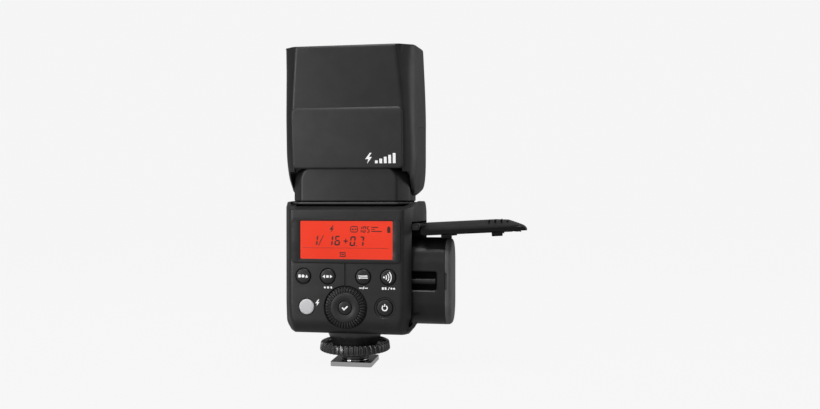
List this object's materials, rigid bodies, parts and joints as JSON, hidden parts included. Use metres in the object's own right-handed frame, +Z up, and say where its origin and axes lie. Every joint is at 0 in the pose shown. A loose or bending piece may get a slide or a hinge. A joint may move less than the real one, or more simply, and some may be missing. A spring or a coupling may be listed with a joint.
{
  "type": "speedlight flash",
  "caption": "Compact on-camera flash with a tilting, swivelling zoom head, rear control panel, side battery door with battery part out, and hot-shoe foot.",
  "frame": {"origin": "centre of the shoe plate's underside", "axes": "+Z up along the body to the flash window, +X to the battery door's side, -Y out of the control panel"},
  "size_m": [0.107, 0.0395, 0.1444],
  "materials": {
    "shell": "fine moulded grain, matte",
    "dark_plastic": "matte",
    "gloss_black": "gloss",
    "lcd": "lit display under a clear window",
    "board": "solder mask",
    "sleeve": "shrink sleeve",
    "steel": "satin",
    "shoe_metal": "satin anodised",
    "contact_gold": "plated",
    "grey_button": "satin",
    "red_window": "gloss, deep red",
    "clear_lens": "moulded prisms",
    "white_panel": "satin",
    "mirror_tray": "polished",
    "rubber": "matte",
    "cell": "wrapped cell",
    "bush": "turned"
  },
  "bodies": {
    "body": {"rear_cover": "shell", "front_cover": "shell", "lcd_bezel": "gloss_black", "lcd_module": "lcd", "main_board": "board", "capacitors": "sleeve", "transformer": "bush", "battery_bay": "dark_plastic", "bay_contacts": "contact_gold", "door_hinge_pin": "steel", "sensor_window": "red_window", "assist_lens": "red_window", "sync_jack": "steel", "usb_port": "steel", "body_screws": "steel", "foot_base": "dark_plastic", "shoe_plate": "shoe_metal", "shoe_screws": "steel", "swivel_bush": "bush"},
    "neck": {"neck_rear_cover": "shell", "neck_front_cover": "shell", "turntable": "shell", "tilt_axle": "steel", "swivel_clip": "steel"},
    "head": {"head_rear_cover": "shell", "head_front_cover": "shell", "cover_plate": "shell", "ear_cap_left": "shell", "ear_cap_right": "shell", "lens_frame": "shell", "fresnel_lens": "clear_lens", "guide_rods": "steel", "zoom_motor": "steel", "trigger_board": "board", "head_screws": "steel"},
    "zoom_unit": {"reflector": "mirror_tray", "flash_tube": "clear_lens", "zoom_carriage": "dark_plastic"},
    "lead_screw": {"lead_screw": "steel"},
    "wide_panel": {"wide_panel": "clear_lens"},
    "catchlight_panel": {"catchlight_panel": "white_panel"},
    "mode_button": {"mode_button": "dark_plastic"},
    "zoom_button": {"zoom_button": "dark_plastic"},
    "sync_button": {"sync_button": "dark_plastic"},
    "slave_button": {"slave_button": "dark_plastic"},
    "test_button": {"test_button": "grey_button"},
    "power_button": {"power_button": "dark_plastic"},
    "set_button": {"set_button": "dark_plastic"},
    "select_dial": {"select_dial": "dark_plastic"},
    "locking_ring": {"locking_ring": "dark_plastic"},
    "clamp_washer": {"clamp_washer": "dark_plastic"},
    "lock_pin": {"lock_pin": "steel"},
    "contact_pins": {"contact_pins": "contact_gold"},
    "battery_door": {"battery_door": "dark_plastic", "door_pad": "rubber"},
    "ejector": {"ejector": "dark_plastic"},
    "battery": {"battery_case": "dark_plastic", "battery_cap": "dark_plastic", "battery_cells": "cell"},
    "port_cover": {"port_cover": "rubber"}
  },
  "joints": [
    {"name": "head_swivel", "type": "hinge", "parent": "body", "child": "neck", "pos_m": [0, 0.001, 0.0712], "axis": [0, 0, 1], "range_deg": [-180, 150]},
    {"name": "head_tilt", "type": "hinge", "parent": "neck", "child": "head", "pos_m": [0, 0.001, 0.0925], "axis": [-1, 0, 0], "range_deg": [0, 90]},
    {"name": "zoom_slide", "type": "slide", "parent": "head", "child": "zoom_unit", "axis": [0, 0, 1], "range_m": [0, 0.0104]},
    {"name": "lead_screw_spin", "type": "hinge", "parent": "head", "child": "lead_screw", "pos_m": [-0.026, 0.009, 0.12], "axis": [0, 0, 1], "continuous": true},
    {"name": "wide_panel_slide", "type": "slide", "parent": "head", "child": "wide_panel", "axis": [0, -0.1014, 0.9948], "range_m": [0, 0.022]},
    {"name": "catchlight_panel_slide", "type": "slide", "parent": "head", "child": "catchlight_panel", "axis": [0, -0.1014, 0.9948], "range_m": [0, 0.022]},
    {"name": "mode_press", "type": "slide", "parent": "body", "child": "mode_button", "axis": [0, 1, 0], "range_m": [0, 0.0006], "stiffness_N_per_m": 300, "springref_m": -0.0006},
    {"name": "zoom_press", "type": "slide", "parent": "body", "child": "zoom_button", "axis": [0, 1, 0], "range_m": [0, 0.0006], "stiffness_N_per_m": 300, "springref_m": -0.0006},
    {"name": "sync_press", "type": "slide", "parent": "body", "child": "sync_button", "axis": [0, 1, 0], "range_m": [0, 0.0006], "stiffness_N_per_m": 300, "springref_m": -0.0006},
    {"name": "slave_press", "type": "slide", "parent": "body", "child": "slave_button", "axis": [0, 1, 0], "range_m": [0, 0.0006], "stiffness_N_per_m": 300, "springref_m": -0.0006},
    {"name": "test_press", "type": "slide", "parent": "body", "child": "test_button", "axis": [0, 1, 0], "range_m": [0, 0.0006], "stiffness_N_per_m": 300, "springref_m": -0.0006},
    {"name": "power_press", "type": "slide", "parent": "body", "child": "power_button", "axis": [0, 1, 0], "range_m": [0, 0.0006], "stiffness_N_per_m": 300, "springref_m": -0.0006},
    {"name": "set_press", "type": "slide", "parent": "body", "child": "set_button", "axis": [0, 1, 0], "range_m": [0, 0.0006], "stiffness_N_per_m": 300, "springref_m": -0.0006},
    {"name": "dial_turn", "type": "hinge", "parent": "body", "child": "select_dial", "pos_m": [0, -0.0184, 0.0275], "axis": [0, 1, 0], "continuous": true},
    {"name": "ring_turn", "type": "hinge", "parent": "body", "child": "locking_ring", "pos_m": [0, 0, 0.007], "axis": [0, 0, 1], "range_deg": [0, 60]},
    {"name": "washer_slide", "type": "slide", "parent": "body", "child": "clamp_washer", "axis": [0, 0, -1], "range_m": [0, 0.001], "stiffness_N_per_m": 0.01, "springref_m": -0.3116},
    {"name": "lock_pin_slide", "type": "slide", "parent": "body", "child": "lock_pin", "axis": [0, 0, -1], "range_m": [0, 0.0015], "stiffness_N_per_m": 0.01, "springref_m": -0.1529},
    {"name": "contact_press", "type": "slide", "parent": "body", "child": "contact_pins", "axis": [0, 0, 1], "range_m": [0, 0.0005], "stiffness_N_per_m": 400, "springref_m": -0.0005},
    {"name": "door_hinge", "type": "hinge", "parent": "body", "child": "battery_door", "pos_m": [0.03, 0, 0.0623], "axis": [0, -1, 0], "range_deg": [-93, 0]},
    {"name": "ejector_slide", "type": "slide", "parent": "body", "child": "ejector", "axis": [1, 0, 0], "range_m": [-0.018, 0.0001]},
    {"name": "battery_slide", "type": "slide", "parent": "ejector", "child": "battery", "axis": [1, 0, 0], "range_m": [0, 0.04]},
    {"name": "port_cover_hinge", "type": "hinge", "parent": "body", "child": "port_cover", "pos_m": [-0.0303, 0.0114, 0.064], "axis": [0, 0, -1], "range_deg": [0, 90]}
  ],
  "couplings": [
    {"joint": "lead_screw_spin", "follows": "zoom_slide", "rad_per_m": 2416.6},
    {"joint": "washer_slide", "follows": "ring_turn", "m_per_rad": 0.0009},
    {"joint": "lock_pin_slide", "follows": "ring_turn", "m_per_rad": 0.00115},
    {"joint": "ejector_slide", "follows": "door_hinge", "m_per_rad": 0.011028}
  ]
}
